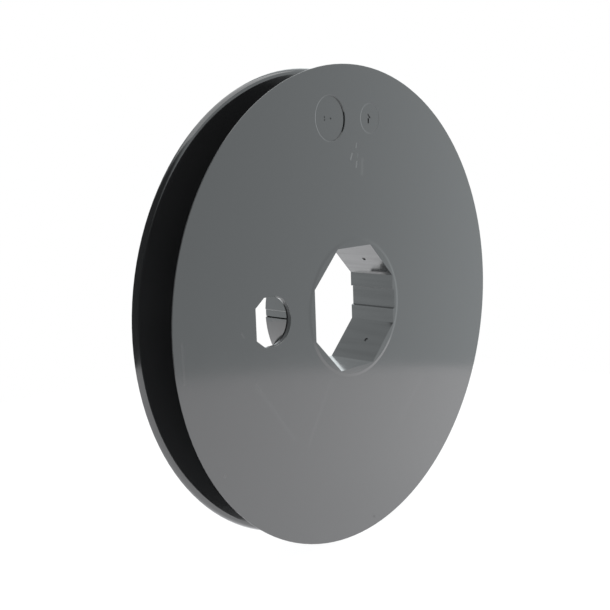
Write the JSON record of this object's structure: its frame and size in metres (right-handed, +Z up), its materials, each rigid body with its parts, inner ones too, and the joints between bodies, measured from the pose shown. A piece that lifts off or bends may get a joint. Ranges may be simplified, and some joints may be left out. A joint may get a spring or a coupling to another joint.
{
  "type": "roller shutter belt pulley",
  "caption": "Round two-disc pulley with an eight-sided shaft socket, a groove for a roller shutter's belt and a strap hole beside the hub.",
  "frame": {"origin": "on the shaft axis, halfway along the hub", "axes": "+Y along the shaft axis from the front disc to the back disc, +Z up, +X towards the socket's seam channel"},
  "size_m": [0.16, 0.0188, 0.16],
  "materials": {
    "grey_plastic": "glossy moulded"
  },
  "bodies": {
    "root": {"belt_pulley": "grey_plastic"}
  },
  "joints": []
}
